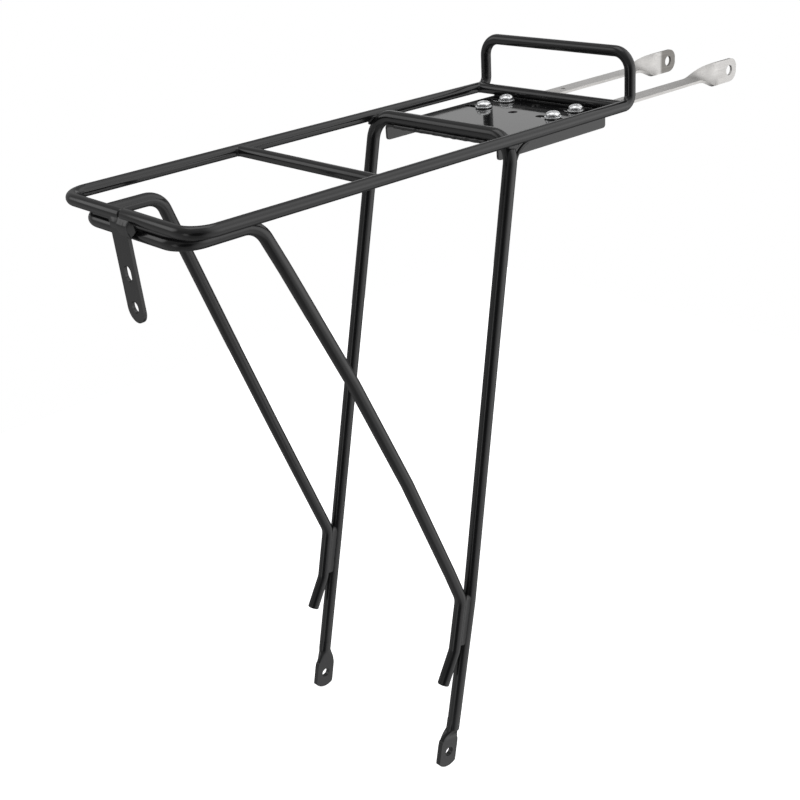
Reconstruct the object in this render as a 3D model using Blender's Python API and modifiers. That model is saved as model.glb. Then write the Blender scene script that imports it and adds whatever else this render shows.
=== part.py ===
"""Bicycle rear rack: three bent steel rods, cross rods, a stay plate, two sliding stays and their screws.

Axes: +X points to the front of the bicycle, +Y to its left and +Z up. The design is drawn from the middle of
the rear rod at the height of the platform, and moved at the end so that the origin is the bottom centre of the
whole object's box. Lengths are in metres and angles in radians.
"""
import math

import bmesh
import bpy
from mathutils import Matrix, Vector

# ---- driving dimensions ------------------------------------------------------------------------------
GAP = 0.0003                       # left between pieces that touch

RAIL_RADIUS = 0.0035               # platform rod and cross rods
RAIL_HALF_WIDTH = 0.0629           # from the centre plane to a platform side
RAIL_LENGTH = 0.3356               # from the rear rod to the hoop
REAR_BEND = 0.0145                 # centre-line radii of the bends
FRONT_BEND = 0.0065
HOOP_BEND = 0.012
HOOP_HEIGHT = 0.0324
HOOP_HALF_WIDTH = 0.0625
HOOP_LEAN = 0.0002
SEAM_Y = 0.006                     # where the two ends of the platform rod meet

MID_CROSS_X = 0.1194
FRONT_CROSS_X = 0.3278

LEG_RADIUS = 0.00425
LEG_BAR_X = 0.2284
LEG_BAR_Z = 0.00065
LEG_TOP_Y = 0.0603
LEG_BEND = 0.016
LEG_KNEE = Vector((0.1672, 0.0668, -0.2890))
LEG_FOOT = Vector((0.1455, 0.0670, -0.3805))
KNEE_BEND = 0.080

EYE = Vector((0.1416, 0.0648, -0.3965))    # middle of a dropout tab at its hole
TAB_THICKNESS = 0.0036
TAB_WIDTH = 0.0148
TAB_NECK_WIDTH = 0.0076
TAB_LENGTH_ABOVE_EYE = 0.022
TAB_END_RADIUS = 0.011
TAB_SHOULDER = 0.00924             # height of the shoulders above the eye
TAB_SLOPE = (0.35, 0.70)           # shares of width and height where a shoulder's slope changes
TAB_LEAN = math.radians(13.0)
EYE_HOLE_RADIUS = 0.0032

STRUT_RADIUS = 0.0039
LOOP_HALF_WIDTH = 0.0462           # lower rear loop, which runs on into the struts
LOOP_X = 0.0032
LOOP_Z = -0.0093
LOOP_BEND = 0.014
STRUT_TOP_X = 0.0500
STRUT_BEND = 0.014
STRUT_BOW = Vector((0.0040, 0.0108, 0.0))
STRUT_BOW_BEND = 1.6
STRUT_FOOT_Z = -0.2836             # where a strut meets its leg
STRUT_WELD_END_Z = -0.3190         # where it leaves the leg again
STRUT_TAIL = Vector((0.1395, 0.0670, -0.3400))
STRUT_FOOT_BEND = 0.014

PLATE_REAR_X = 0.2268
PLATE_FRONT_X = 0.3270
PLATE_HALF_WIDTH = 0.050
PLATE_THICKNESS = 0.0016
PLATE_TOP_Z = -0.0039
PLATE_DEPTH = 0.0106
PLATE_BEND = 0.003
FLANGE_CORNER = 0.002

SCREW_RADIUS = 0.0025
SLOT_CLEARANCE = 0.0003
FRONT_SCREW_X = 0.3163
REAR_SCREW_X = 0.2941
SLOT_CENTRE_Y = 0.032
SLOT_HALF_LENGTH = 0.0114
CENTRE_HOLE_RADIUS = 0.003

WASHER_RADIUS = 0.0055
WASHER_THICKNESS = 0.001
WASHER_EDGE = 0.0002
HEAD_RADIUS = 0.0047
HEAD_HEIGHT = 0.0031
NUT_FLATS = 0.008
NUT_HEIGHT = 0.004
SCREW_PROTRUSION = 0.0015
RECESS_LENGTH = 0.0052
RECESS_WIDTH = 0.0011
RECESS_DEPTH = 0.0016
HEAD_RIM = 0.28                    # share of the head's height that is its straight rim
POINT_CHAMFER = 0.0005

STAY_THICKNESS = 0.0018
STAY_HALF_WIDTH = 0.0068
STAY_HEAD_HALF_WIDTH = 0.0082
STAY_LENGTH = 0.2236
STAY_TAIL_TO_SLOT = 0.0055         # from the stay's rear end to the end of its long slot
STAY_TRAVEL = 0.020
STAY_TWIST_START = 0.054           # distances back from the stay's front end
STAY_TWIST_END = 0.020
STAY_EYE_BACK = 0.0085
STAY_EYE_RADIUS = 0.0036
STAY_SPARE_HOLE_BACK = 0.129
STAY_SPARE_HOLE_RADIUS = 0.0016
STAY_ROWS = 5                      # rows of faces across a stay, with no row of points along its middle
TAIL_CLOSING = 0.93                # how nearly a stay's ends close to a point
NOSE_CLOSING = 0.90
NOSE_SQUARENESS = 2.4
STAY_SIDES = {                     # side: (screw y, how far the stay is pushed forward of its middle place)
    "left": (0.0262, 0.00425),
    "right": (-0.0345, -0.0052),
}

BRACKET_HALF_WIDTH = 0.0077
BRACKET_THICKNESS = 0.0021
BRACKET_BOTTOM_Z = -0.0590
BRACKET_SLOTS = ((-0.0310, 0.0046), (-0.0500, 0.0034))   # centre height and half length
BRACKET_SLOT_RADIUS = 0.0033
BRACKET_LEAN = math.radians(3.0)

# ---- worked out from the dimensions above ------------------------------------------------------------
STAY_TOP_Z = PLATE_TOP_Z - PLATE_THICKNESS - GAP
STAY_MIDDLE_Z = STAY_TOP_Z - STAY_THICKNESS / 2
SCREW_MIDDLE_X = (FRONT_SCREW_X + REAR_SCREW_X) / 2
SLOT_RADIUS = SCREW_RADIUS + SLOT_CLEARANCE
STAY_SLOT_HALF = (FRONT_SCREW_X - REAR_SCREW_X + STAY_TRAVEL) / 2 + SLOT_RADIUS
STAY_REAR_BACK = STAY_SLOT_HALF + STAY_TAIL_TO_SLOT      # from the slot's middle to the stay's rear end
STAY_FRONT_AHEAD = STAY_LENGTH - STAY_REAR_BACK
FRONT_END_X = SCREW_MIDDLE_X + STAY_FRONT_AHEAD + STAY_SIDES["left"][1]
BRACKET_X = LOOP_X - STRUT_RADIUS - 4 * GAP - BRACKET_THICKNESS / 2    # its middle at the lower loop
BRACKET_TOP_Z = -RAIL_RADIUS - 0.0005
REAR_END_X = (BRACKET_X - BRACKET_THICKNESS / 2 * math.cos(BRACKET_LEAN)
              - (BRACKET_TOP_Z - LOOP_Z) * math.sin(BRACKET_LEAN))
LOWEST_Z = EYE.z - TAB_END_RADIUS
SHIFT = Vector((-(REAR_END_X + FRONT_END_X) / 2, 0.0, -LOWEST_Z))
FACING_FORWARD = Matrix(((0, 0, 1, 0), (1, 0, 0, 0), (0, 1, 0, 0), (0, 0, 0, 1)))   # turns Z to +X

ROD_SIDES_RESOLUTION = 4           # twelve sides round a rod
ARC_STEP = math.radians(16)
ROUND_STEPS = 28

BLACK = ("gloss_black_paint", (0.018, 0.018, 0.019, 1.0), 0.28, 0.0)
SATIN = ("satin_steel", (0.56, 0.55, 0.53, 1.0), 0.42, 1.0)
ZINC = ("bright_zinc", (0.78, 0.79, 0.80, 1.0), 0.22, 1.0)


# ---- scene helpers -----------------------------------------------------------------------------------
def clear_scene():
    for item in list(bpy.data.objects):
        bpy.data.objects.remove(item, do_unlink=True)


def new_collection(name):
    collection = bpy.data.collections.new(name)
    bpy.context.scene.collection.children.link(collection)
    return collection


def make_material(name, colour, roughness, metallic):
    material = bpy.data.materials.new(name)
    material.use_nodes = True
    shader = material.node_tree.nodes["Principled BSDF"]
    shader.inputs["Base Color"].default_value = colour
    shader.inputs["Roughness"].default_value = roughness
    shader.inputs["Metallic"].default_value = metallic
    material.diffuse_color = colour
    return material


def shade_round(mesh):
    mesh.shade_smooth()
    mesh.set_sharp_from_angle(angle=math.radians(35))


def add_mesh(name, mesh, finish, origin=Vector()):
    """Adds a part whose mesh is drawn around origin, given in rack coordinates."""
    part = bpy.data.objects.new(name, mesh)
    PARTS.objects.link(part)
    part.location = SHIFT + origin
    label, colour, roughness, metallic = finish
    mesh.materials.clear()
    mesh.materials.append(make_material(f"{name}_{label}", colour, roughness, metallic))
    return part


def mesh_from_bmesh(name, shape):
    bmesh.ops.recalc_face_normals(shape, faces=shape.faces)
    mesh = bpy.data.meshes.new(name)
    shape.to_mesh(mesh)
    shape.free()
    return mesh


def mesh_from_curve(name, curve):
    """Turns a curve into a closed mesh, with its caps welded on."""
    carrier = bpy.data.objects.new(name, curve)
    bpy.context.scene.collection.objects.link(carrier)
    bpy.context.view_layer.update()
    evaluated = carrier.evaluated_get(bpy.context.evaluated_depsgraph_get())
    shape = bmesh.new()
    shape.from_mesh(bpy.data.meshes.new_from_object(evaluated))
    bmesh.ops.remove_doubles(shape, verts=shape.verts, dist=1e-6)
    bpy.data.objects.remove(carrier, do_unlink=True)
    mesh = mesh_from_bmesh(name, shape)
    shade_round(mesh)
    return mesh


def cut(part, cutter_mesh, operation="DIFFERENCE", origin=Vector()):
    """Adds a Boolean modifier to part; the cutter is drawn in the same coordinates as the part's mesh."""
    cutter = bpy.data.objects.new(f"{part.name}_{operation.lower()}_{len(part.modifiers)}", cutter_mesh)
    CUTTERS.objects.link(cutter)
    cutter.location = SHIFT + origin
    cutter.hide_render = True
    cutter.display_type = "WIRE"
    modifier = part.modifiers.new(cutter.name, "BOOLEAN")
    modifier.operation = operation
    modifier.solver = "EXACT"
    modifier.object = cutter


# ---- shapes ------------------------------------------------------------------------------------------
def rounded_path(corners):
    """Points along straight runs joined by arcs; corners are (point, bend radius), unused at the ends."""
    points = [corners[0][0]]
    for (before, _), (corner, radius), (after, _) in zip(corners, corners[1:], corners[2:]):
        back = (before - corner).normalized()
        ahead = (after - corner).normalized()
        turn = math.pi - back.angle(ahead)
        reach = radius * math.tan(turn / 2)
        centre = corner + (back + ahead).normalized() * (radius / math.cos(turn / 2))
        start = corner + back * reach - centre
        axis = start.cross(corner + ahead * reach - centre).normalized()
        steps = max(2, math.ceil(turn / ARC_STEP))
        for step in range(steps + 1):
            points.append(centre + Matrix.Rotation(turn * step / steps, 3, axis) @ start)
    points.append(corners[-1][0])
    return points


def rod_mesh(name, points, radius):
    curve = bpy.data.curves.new(name, "CURVE")
    curve.dimensions = "3D"
    curve.bevel_depth = radius
    curve.bevel_resolution = ROD_SIDES_RESOLUTION
    curve.use_fill_caps = True
    spline = curve.splines.new("POLY")
    spline.points.add(len(points) - 1)
    for slot, point in zip(spline.points, points):
        slot.co = (*point, 1.0)
    return mesh_from_curve(name, curve)


def arc_points(centre, radius, start, end, steps):
    """Points of an arc in a plane, from angle start to angle end."""
    for step in range(steps + 1):
        angle = start + (end - start) * step / steps
        yield (centre[0] + radius * math.cos(angle), centre[1] + radius * math.sin(angle))


def slot_outline(centre, half_length, radius, along_y=True):
    """A slot with round ends; half_length reaches the very end of the slot."""
    straight = half_length - radius
    turned = 0.0 if along_y else -math.pi / 2
    reach = (0.0, straight) if along_y else (straight, 0.0)
    ahead = (centre[0] + reach[0], centre[1] + reach[1])
    behind = (centre[0] - reach[0], centre[1] - reach[1])
    return [
        *arc_points(ahead, radius, turned, turned + math.pi, 8),
        *arc_points(behind, radius, turned + math.pi, turned + 2 * math.pi, 8),
    ]


def flat_mesh(name, outlines, thickness, turn=Matrix.Identity(4)):
    """A flat sheet from closed outlines, the first one outside and any others holes, turned into place."""
    curve = bpy.data.curves.new(name, "CURVE")
    curve.dimensions = "2D"
    curve.fill_mode = "BOTH"
    curve.extrude = thickness / 2
    for outline in outlines:
        spline = curve.splines.new("POLY")
        spline.points.add(len(outline) - 1)
        for slot, (across, along) in zip(spline.points, outline):
            slot.co = (across, along, 0.0, 1.0)
        spline.use_cyclic_u = True
    mesh = mesh_from_curve(name, curve)
    mesh.transform(turn)
    return mesh


def cylinder_mesh(name, radius, height, segments=ROUND_STEPS, turn=Matrix.Identity(4)):
    shape = bmesh.new()
    size = {"radius1": radius, "radius2": radius, "depth": height}
    bmesh.ops.create_cone(shape, cap_ends=True, segments=segments, **size)
    bmesh.ops.transform(shape, matrix=turn, verts=shape.verts)
    return mesh_from_bmesh(name, shape)


def box_mesh(name, size, turn=Matrix.Identity(4)):
    shape = bmesh.new()
    bmesh.ops.create_cube(shape, size=1.0)
    bmesh.ops.scale(shape, vec=size, verts=shape.verts)
    bmesh.ops.transform(shape, matrix=turn, verts=shape.verts)
    return mesh_from_bmesh(name, shape)


def turned_part(name, profile, finish, origin):
    """A turned piece: profile is (radius, height) pairs that run down the outside, around the Z axis."""
    shape = bmesh.new()
    ring = [shape.verts.new((radius, 0.0, height)) for radius, height in profile]
    for first, second in zip(ring, ring[1:]):
        shape.edges.new((first, second))
    mesh = bpy.data.meshes.new(name)
    shape.to_mesh(mesh)
    shape.free()
    part = add_mesh(name, mesh, finish, origin)
    screw = part.modifiers.new("turned", "SCREW")
    screw.steps = ROUND_STEPS
    screw.render_steps = ROUND_STEPS
    screw.use_merge_vertices = True
    screw.merge_threshold = 1e-5
    screw.use_smooth_shade = True
    return part


def mirrored(point):
    return Vector((point.x, -point.y, point.z))


def both_sides(left_half):
    """Corners of a rod that is the same on both sides: the left half first, then its mirror image."""
    right_half = [(mirrored(point), radius) for point, radius in reversed(left_half)]
    return left_half + right_half


# ---- welded frame ------------------------------------------------------------------------------------
def make_platform_rail():
    """One rod: round the rear, along both sides, and up into the hoop at the front."""
    side = Vector((0.0, RAIL_HALF_WIDTH, 0.0))
    front = Vector((RAIL_LENGTH, RAIL_HALF_WIDTH, 0.0))
    top = Vector((RAIL_LENGTH + HOOP_LEAN, HOOP_HALF_WIDTH, HOOP_HEIGHT))
    loop = both_sides([(side, REAR_BEND), (front, FRONT_BEND), (top, HOOP_BEND)])
    first_end = (Vector((0.0, SEAM_Y + GAP / 2, 0.0)), 0.0)
    last_end = (Vector((0.0, SEAM_Y - GAP / 2, 0.0)), 0.0)
    points = rounded_path([first_end, *loop, last_end])
    add_mesh("platform_rail", rod_mesh("platform_rail", points, RAIL_RADIUS), BLACK)


def make_cross_rod(name, x):
    """A straight rod between the platform sides."""
    reach = RAIL_HALF_WIDTH - RAIL_RADIUS - GAP
    points = [Vector((x, reach, 0.0)), Vector((x, -reach, 0.0))]
    add_mesh(name, rod_mesh(name, points, RAIL_RADIUS), BLACK)


def leg_x(z):
    """Centre line of a leg, front to back, at height z."""
    lower, upper = (LEG_FOOT, LEG_KNEE) if z < LEG_KNEE.z else (LEG_KNEE, Vector((LEG_BAR_X, 0, LEG_BAR_Z)))
    share = (z - lower.z) / (upper.z - lower.z)
    return lower.x + share * (upper.x - lower.x)


def tab_outline():
    """Flattened lower end of a leg: neck, shoulders, and a round end about the eye."""
    neck = TAB_NECK_WIDTH / 2
    half = TAB_WIDTH / 2
    corner = math.acos(half / TAB_END_RADIUS)
    upper = TAB_LENGTH_ABOVE_EYE
    slope_across = neck + TAB_SLOPE[0] * (half - neck)
    slope_up = TAB_SHOULDER + TAB_SLOPE[1] * (upper - TAB_SHOULDER)
    return [
        (neck, upper),
        (-neck, upper),
        (-slope_across, slope_up),
        (-half, TAB_SHOULDER),
        *arc_points((0.0, 0.0), TAB_END_RADIUS, math.pi + corner, 2 * math.pi - corner, 12),
        (half, TAB_SHOULDER),
        (slope_across, slope_up),
    ]


def make_leg_rod():
    """One rod: the cross bar under the platform and both legs, whose ends are pressed flat round the eyes."""
    top = Vector((leg_x(LEG_BAR_Z), LEG_TOP_Y, LEG_BAR_Z))
    corners = both_sides([(LEG_FOOT, 0.0), (LEG_KNEE, KNEE_BEND), (top, LEG_BEND)])
    leg = add_mesh("leg_rod", rod_mesh("leg_rod", rounded_path(corners), LEG_RADIUS), BLACK)
    upright = Matrix.Rotation(math.pi / 2, 4, "X")
    lean = Matrix.Rotation(TAB_LEAN, 4, "Y")
    hole = list(arc_points((0.0, 0.0), EYE_HOLE_RADIUS, 0.0, 2 * math.pi, 20))[:-1]
    for side in (1, -1):
        turn = Matrix.Translation(Vector((EYE.x, side * EYE.y, EYE.z))) @ lean @ upright
        tab = flat_mesh("leg_tab", [tab_outline(), hole], TAB_THICKNESS, turn)
        cut(leg, tab, "UNION")


def make_rear_strut_rod():
    """One rod: the lower rear loop, both struts and the free tails below their welds to the legs."""
    beside = LEG_RADIUS + STRUT_RADIUS + GAP
    foot = Vector((leg_x(STRUT_FOOT_Z) - beside, LEG_KNEE.y, STRUT_FOOT_Z))
    weld_end = Vector((leg_x(STRUT_WELD_END_Z) - beside, LEG_FOOT.y, STRUT_WELD_END_Z))
    top = Vector((STRUT_TOP_X, LOOP_HALF_WIDTH, LOOP_Z))
    middle = (top + foot) / 2 + STRUT_BOW
    rear = Vector((LOOP_X, LOOP_HALF_WIDTH, LOOP_Z))
    left_half = [
        (STRUT_TAIL, 0.0),
        (weld_end, STRUT_FOOT_BEND),
        (foot, STRUT_FOOT_BEND),
        (middle, STRUT_BOW_BEND),
        (top, STRUT_BEND),
        (rear, LOOP_BEND),
    ]
    points = rounded_path(both_sides(left_half))
    add_mesh("rear_strut_rod", rod_mesh("rear_strut_rod", points, STRUT_RADIUS), BLACK)


def channel_outline():
    """Section of the stay plate across the rack: a flat top with both sides bent down."""
    outer, inner = PLATE_BEND, PLATE_BEND - PLATE_THICKNESS
    half, top = PLATE_HALF_WIDTH, PLATE_TOP_Z
    centre = (half - outer, top - outer)
    mirrored_centre = (-centre[0], centre[1])
    bottom = top - PLATE_DEPTH
    return [
        (half, bottom),
        *arc_points(centre, outer, 0.0, math.pi / 2, 5),
        *arc_points(mirrored_centre, outer, math.pi / 2, math.pi, 5),
        (-half, bottom),
        (-half + PLATE_THICKNESS, bottom),
        *arc_points(mirrored_centre, inner, math.pi, math.pi / 2, 5),
        *arc_points(centre, inner, math.pi / 2, 0.0, 5),
        (half - PLATE_THICKNESS, bottom),
    ]


def flange_corner_cutter(x, forward):
    """A block that leaves a round lower corner on both flanges at one end of the plate."""
    bottom = PLATE_TOP_Z - PLATE_DEPTH
    reach = FLANGE_CORNER
    centre = (x - forward * reach, bottom + reach)
    start = -math.pi / 2
    outline = [
        *arc_points(centre, reach, start, start + forward * math.pi / 2, 6),
        (x + forward * reach, bottom + reach),
        (x + forward * reach, bottom - reach),
        (centre[0], bottom - reach),
    ]
    upright = Matrix.Rotation(math.pi / 2, 4, "X")
    return flat_mesh("flange_corner", [outline], 2.4 * PLATE_HALF_WIDTH, upright)


def make_stay_plate():
    """Bent sheet welded under the leg bar and the front cross rod, slotted for the stay screws."""
    length = PLATE_FRONT_X - PLATE_REAR_X
    middle = Vector(((PLATE_FRONT_X + PLATE_REAR_X) / 2, 0.0, 0.0))
    turn = Matrix.Translation(middle) @ FACING_FORWARD
    plate = add_mesh("stay_plate", flat_mesh("stay_plate", [channel_outline()], length, turn), BLACK)
    cut(plate, flange_corner_cutter(PLATE_REAR_X, -1))
    cut(plate, flange_corner_cutter(PLATE_FRONT_X, 1))
    through = Matrix.Translation((0.0, 0.0, PLATE_TOP_Z - PLATE_THICKNESS / 2))
    height = 3 * PLATE_THICKNESS
    for x in (REAR_SCREW_X, FRONT_SCREW_X):
        for side in (1, -1):
            outline = slot_outline((x, side * SLOT_CENTRE_Y), SLOT_HALF_LENGTH, SLOT_RADIUS)
            cut(plate, flat_mesh("plate_slot", [outline], height, through))
        hole = Matrix.Translation((x, 0.0, 0.0)) @ through
        cut(plate, cylinder_mesh("plate_hole", CENTRE_HOLE_RADIUS, height, 20, hole))


def make_reflector_bracket():
    """Flat tab that hangs below the rear rod, behind the lower loop, with two slots for a reflector."""
    half = BRACKET_HALF_WIDTH
    top = BRACKET_TOP_Z - LOOP_Z
    round_end = (0.0, BRACKET_BOTTOM_Z + half - LOOP_Z)
    outline = [(half, top), (-half, top), *arc_points(round_end, half, math.pi, 2 * math.pi, 14)]
    slots = [slot_outline((0.0, z - LOOP_Z), reach, BRACKET_SLOT_RADIUS) for z, reach in BRACKET_SLOTS]
    lean = Matrix.Rotation(-BRACKET_LEAN, 4, "Y")
    turn = Matrix.Translation((BRACKET_X, 0.0, LOOP_Z)) @ lean @ FACING_FORWARD
    mesh = flat_mesh("reflector_bracket", [outline, *slots], BRACKET_THICKNESS, turn)
    add_mesh("reflector_bracket", mesh, BLACK)


# ---- stays and their fastenings ----------------------------------------------------------------------
def stay_half_width(x):
    """Half width of a stay at x from its rear end: round tail, straight run, wider head with a round end."""
    tail = max(0.0, 1.0 - x / STAY_HALF_WIDTH)
    widening_start = STAY_LENGTH - STAY_TWIST_START
    share = min(1.0, max(0.0, (x - widening_start) / (STAY_TWIST_START - STAY_TWIST_END)))
    smooth = share * share * (3 - 2 * share)
    half = STAY_HALF_WIDTH + smooth * (STAY_HEAD_HALF_WIDTH - STAY_HALF_WIDTH)
    nose = max(0.0, 1.0 - (STAY_LENGTH - x) / STAY_HEAD_HALF_WIDTH)
    tail_share = math.sqrt(1.0 - TAIL_CLOSING * tail ** 2)
    nose_share = math.sqrt(1.0 - NOSE_CLOSING * nose ** NOSE_SQUARENESS)
    return half * tail_share * nose_share


def stay_twist(x):
    start, end = STAY_LENGTH - STAY_TWIST_START, STAY_LENGTH - STAY_TWIST_END
    share = min(1.0, max(0.0, (x - start) / (end - start)))
    return math.pi / 2 * share * share * (3 - 2 * share)


def stay_stations():
    """Places along a stay where its surface needs a row of points."""
    tail = [STAY_HALF_WIDTH * (1 - math.cos(math.pi / 2 * step / 5)) for step in range(6)]
    start, end = STAY_LENGTH - STAY_TWIST_START, STAY_LENGTH - STAY_TWIST_END
    twist = [start + (end - start) * step / 14 for step in range(15)]
    nose_start = STAY_LENGTH - STAY_HEAD_HALF_WIDTH
    nose = [nose_start + STAY_HEAD_HALF_WIDTH * math.sin(math.pi / 2 * step / 6) for step in range(7)]
    return tail + twist + nose


def stay_mesh(name):
    """Middle surface of a stay from rear to front, twisted a quarter turn near its front end."""
    shape = bmesh.new()
    stations = stay_stations()
    bmesh.ops.create_grid(shape, x_segments=len(stations) - 1, y_segments=STAY_ROWS, size=1.0)
    for vertex in shape.verts:
        row = round((vertex.co.x + 1) / 2 * (len(stations) - 1))
        x = stations[row]
        offset = vertex.co.y * stay_half_width(x)
        angle = stay_twist(x)
        vertex.co = (x - STAY_REAR_BACK, offset * math.cos(angle), offset * math.sin(angle))
    return mesh_from_bmesh(name, shape)


def make_stay(side, screw_y, push):
    """Flat steel strip with a long slot for both screws and an eye in its twisted front end."""
    name = f"{side}_stay"
    origin = Vector((SCREW_MIDDLE_X + push, screw_y, STAY_MIDDLE_Z))
    stay = add_mesh(name, stay_mesh(name), SATIN, origin)
    thick = stay.modifiers.new("thickness", "SOLIDIFY")
    thick.thickness = STAY_THICKNESS
    thick.offset = 0.0
    height = 3 * STAY_THICKNESS
    slot = slot_outline((0.0, 0.0), STAY_SLOT_HALF, SLOT_RADIUS, along_y=False)
    cut(stay, flat_mesh("stay_slot", [slot], height), origin=origin)
    spare = Matrix.Translation((STAY_FRONT_AHEAD - STAY_SPARE_HOLE_BACK, 0.0, 0.0))
    cut(stay, cylinder_mesh("stay_spare_hole", STAY_SPARE_HOLE_RADIUS, height, 14, spare), origin=origin)
    sideways = Matrix.Rotation(math.pi / 2, 4, "X")
    eye = Matrix.Translation((STAY_FRONT_AHEAD - STAY_EYE_BACK, 0.0, 0.0)) @ sideways
    cut(stay, cylinder_mesh("stay_eye", STAY_EYE_RADIUS, height, 20, eye), origin=origin)


def make_washer(name, origin):
    outer, inner = WASHER_RADIUS, SCREW_RADIUS + GAP
    half, edge = WASHER_THICKNESS / 2, WASHER_EDGE
    profile = [
        (inner, half),
        (outer - edge, half),
        (outer, half - edge),
        (outer, edge - half),
        (outer - edge, -half),
        (inner, -half),
        (inner, half),
    ]
    turned_part(name, profile, ZINC, origin)


def make_screw(name, origin, length):
    """Pan-head screw with a cross recess; origin is the middle of the head's underside."""
    dome = [
        (HEAD_RADIUS * math.sin(angle), HEAD_HEIGHT * (HEAD_RIM + (1 - HEAD_RIM) * math.cos(angle)))
        for angle in (math.pi / 2 * step / 7 for step in range(8))
    ]
    profile = [
        *dome,
        (HEAD_RADIUS, 0.0),
        (SCREW_RADIUS, 0.0),
        (SCREW_RADIUS, POINT_CHAMFER - length),
        (SCREW_RADIUS - POINT_CHAMFER, -length),
        (0.0, -length),
    ]
    screw = turned_part(name, profile, ZINC, origin)
    for turn in (0.0, math.pi / 2):
        up = Matrix.Translation((0.0, 0.0, HEAD_HEIGHT)) @ Matrix.Rotation(turn + math.pi / 4, 4, "Z")
        size = (RECESS_LENGTH, RECESS_WIDTH, 2 * RECESS_DEPTH)
        cut(screw, box_mesh("recess", size, up), origin=origin)


def make_nut(name, origin):
    """Hexagon nut; origin is the middle of its top face."""
    corner = NUT_FLATS / math.sqrt(3)
    hexagon = [(corner * math.cos(math.pi / 3 * k), corner * math.sin(math.pi / 3 * k)) for k in range(6)]
    bore = list(arc_points((0.0, 0.0), SCREW_RADIUS + GAP, 0.0, 2 * math.pi, ROUND_STEPS))[:-1]
    down = Matrix.Translation((0.0, 0.0, -NUT_HEIGHT / 2))
    mesh = flat_mesh(name, [hexagon, bore], NUT_HEIGHT, down)
    add_mesh(name, mesh, ZINC, origin)


def make_fastening(prefix, x, y):
    """Screw and washer on the plate, washer and nut under the stay."""
    top_washer_z = PLATE_TOP_Z + GAP + WASHER_THICKNESS / 2
    head_z = PLATE_TOP_Z + WASHER_THICKNESS + 2 * GAP
    low_washer_z = STAY_TOP_Z - STAY_THICKNESS - GAP - WASHER_THICKNESS / 2
    nut_z = low_washer_z - WASHER_THICKNESS / 2 - GAP
    length = head_z - nut_z + NUT_HEIGHT + SCREW_PROTRUSION
    make_washer(f"{prefix}_top_washer", Vector((x, y, top_washer_z)))
    make_washer(f"{prefix}_bottom_washer", Vector((x, y, low_washer_z)))
    make_screw(f"{prefix}_screw", Vector((x, y, head_z)), length)
    make_nut(f"{prefix}_nut", Vector((x, y, nut_z)))


def main():
    make_platform_rail()
    make_cross_rod("mid_cross_rod", MID_CROSS_X)
    make_cross_rod("front_cross_rod", FRONT_CROSS_X)
    make_leg_rod()
    make_rear_strut_rod()
    make_stay_plate()
    make_reflector_bracket()
    for side, (screw_y, push) in STAY_SIDES.items():
        make_stay(side, screw_y, push)
        make_fastening(f"{side}_front", FRONT_SCREW_X, screw_y)
        make_fastening(f"{side}_rear", REAR_SCREW_X, screw_y)


clear_scene()
PARTS = new_collection("rear_rack")
CUTTERS = new_collection("cutters")
main()
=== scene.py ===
"""Looks of the rear rack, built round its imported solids.

Pieces are drawn in rack coordinates, from the middle of the rear rod at the height of the platform, with
+X to the front of the bicycle, +Y to its left and +Z up. SHIFT moves them into the frame's coordinates.
Lengths are in metres and angles in radians.
"""
from math import acos, ceil, copysign, cos, exp, pi, radians, sin, sqrt, tan

import bmesh
import bpy
from mathutils import Matrix, Vector, noise


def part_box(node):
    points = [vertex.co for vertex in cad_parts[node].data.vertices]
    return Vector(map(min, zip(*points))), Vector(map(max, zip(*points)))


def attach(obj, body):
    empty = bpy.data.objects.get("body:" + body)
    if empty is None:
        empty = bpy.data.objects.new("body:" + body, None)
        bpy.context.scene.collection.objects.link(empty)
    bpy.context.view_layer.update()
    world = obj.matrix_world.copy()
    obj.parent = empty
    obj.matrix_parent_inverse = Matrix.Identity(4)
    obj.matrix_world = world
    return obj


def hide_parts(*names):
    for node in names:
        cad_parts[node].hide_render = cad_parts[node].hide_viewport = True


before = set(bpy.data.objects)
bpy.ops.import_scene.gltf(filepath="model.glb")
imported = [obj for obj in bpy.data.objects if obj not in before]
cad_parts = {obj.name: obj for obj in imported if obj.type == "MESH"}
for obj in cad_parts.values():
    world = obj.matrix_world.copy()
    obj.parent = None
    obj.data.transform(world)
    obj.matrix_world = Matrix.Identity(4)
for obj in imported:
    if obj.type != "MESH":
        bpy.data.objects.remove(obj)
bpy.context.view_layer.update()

# ---- dimensions shared with the solids ----
GAP = 0.0003
RAIL_RADIUS = 0.0035
RAIL_HALF_WIDTH = 0.0629
RAIL_LENGTH = 0.3356
REAR_BEND, FRONT_BEND, HOOP_BEND = 0.0145, 0.0065, 0.012
HOOP_HEIGHT, HOOP_HALF_WIDTH, HOOP_LEAN = 0.0324, 0.0625, 0.0002
SEAM_Y, SEAM_GAP, SEAM_STEP = -0.0004, 0.0014, 0.0006
MID_CROSS_X, FRONT_CROSS_X = 0.1194, 0.3278
LEG_RADIUS = 0.00425
LEG_BAR_X, LEG_BAR_Z, LEG_TOP_Y, LEG_BEND = 0.2284, 0.00065, 0.0603, 0.016
LEG_KNEE = Vector((0.1672, 0.0668, -0.2890))
LEG_FOOT = Vector((0.1455, 0.0670, -0.3805))
KNEE_BEND = 0.080
EYE = Vector((0.1416, 0.0648, -0.3965))
TAB_THICKNESS, TAB_WIDTH, TAB_END_RADIUS, TAB_SHIFT = 0.0036, 0.0148, 0.011, 0.0004
TAB_LEAN = radians(13.0)
TAB_TOP, TAB_REAR_SHOULDER, TAB_FRONT_SHOULDER = 0.0100, 0.0062, 0.0075
TAB_TOP_REAR_INSET, TAB_TOP_FRONT_INSET = 0.0002, 0.0012
EYE_HOLE_RADIUS = 0.0032
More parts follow.
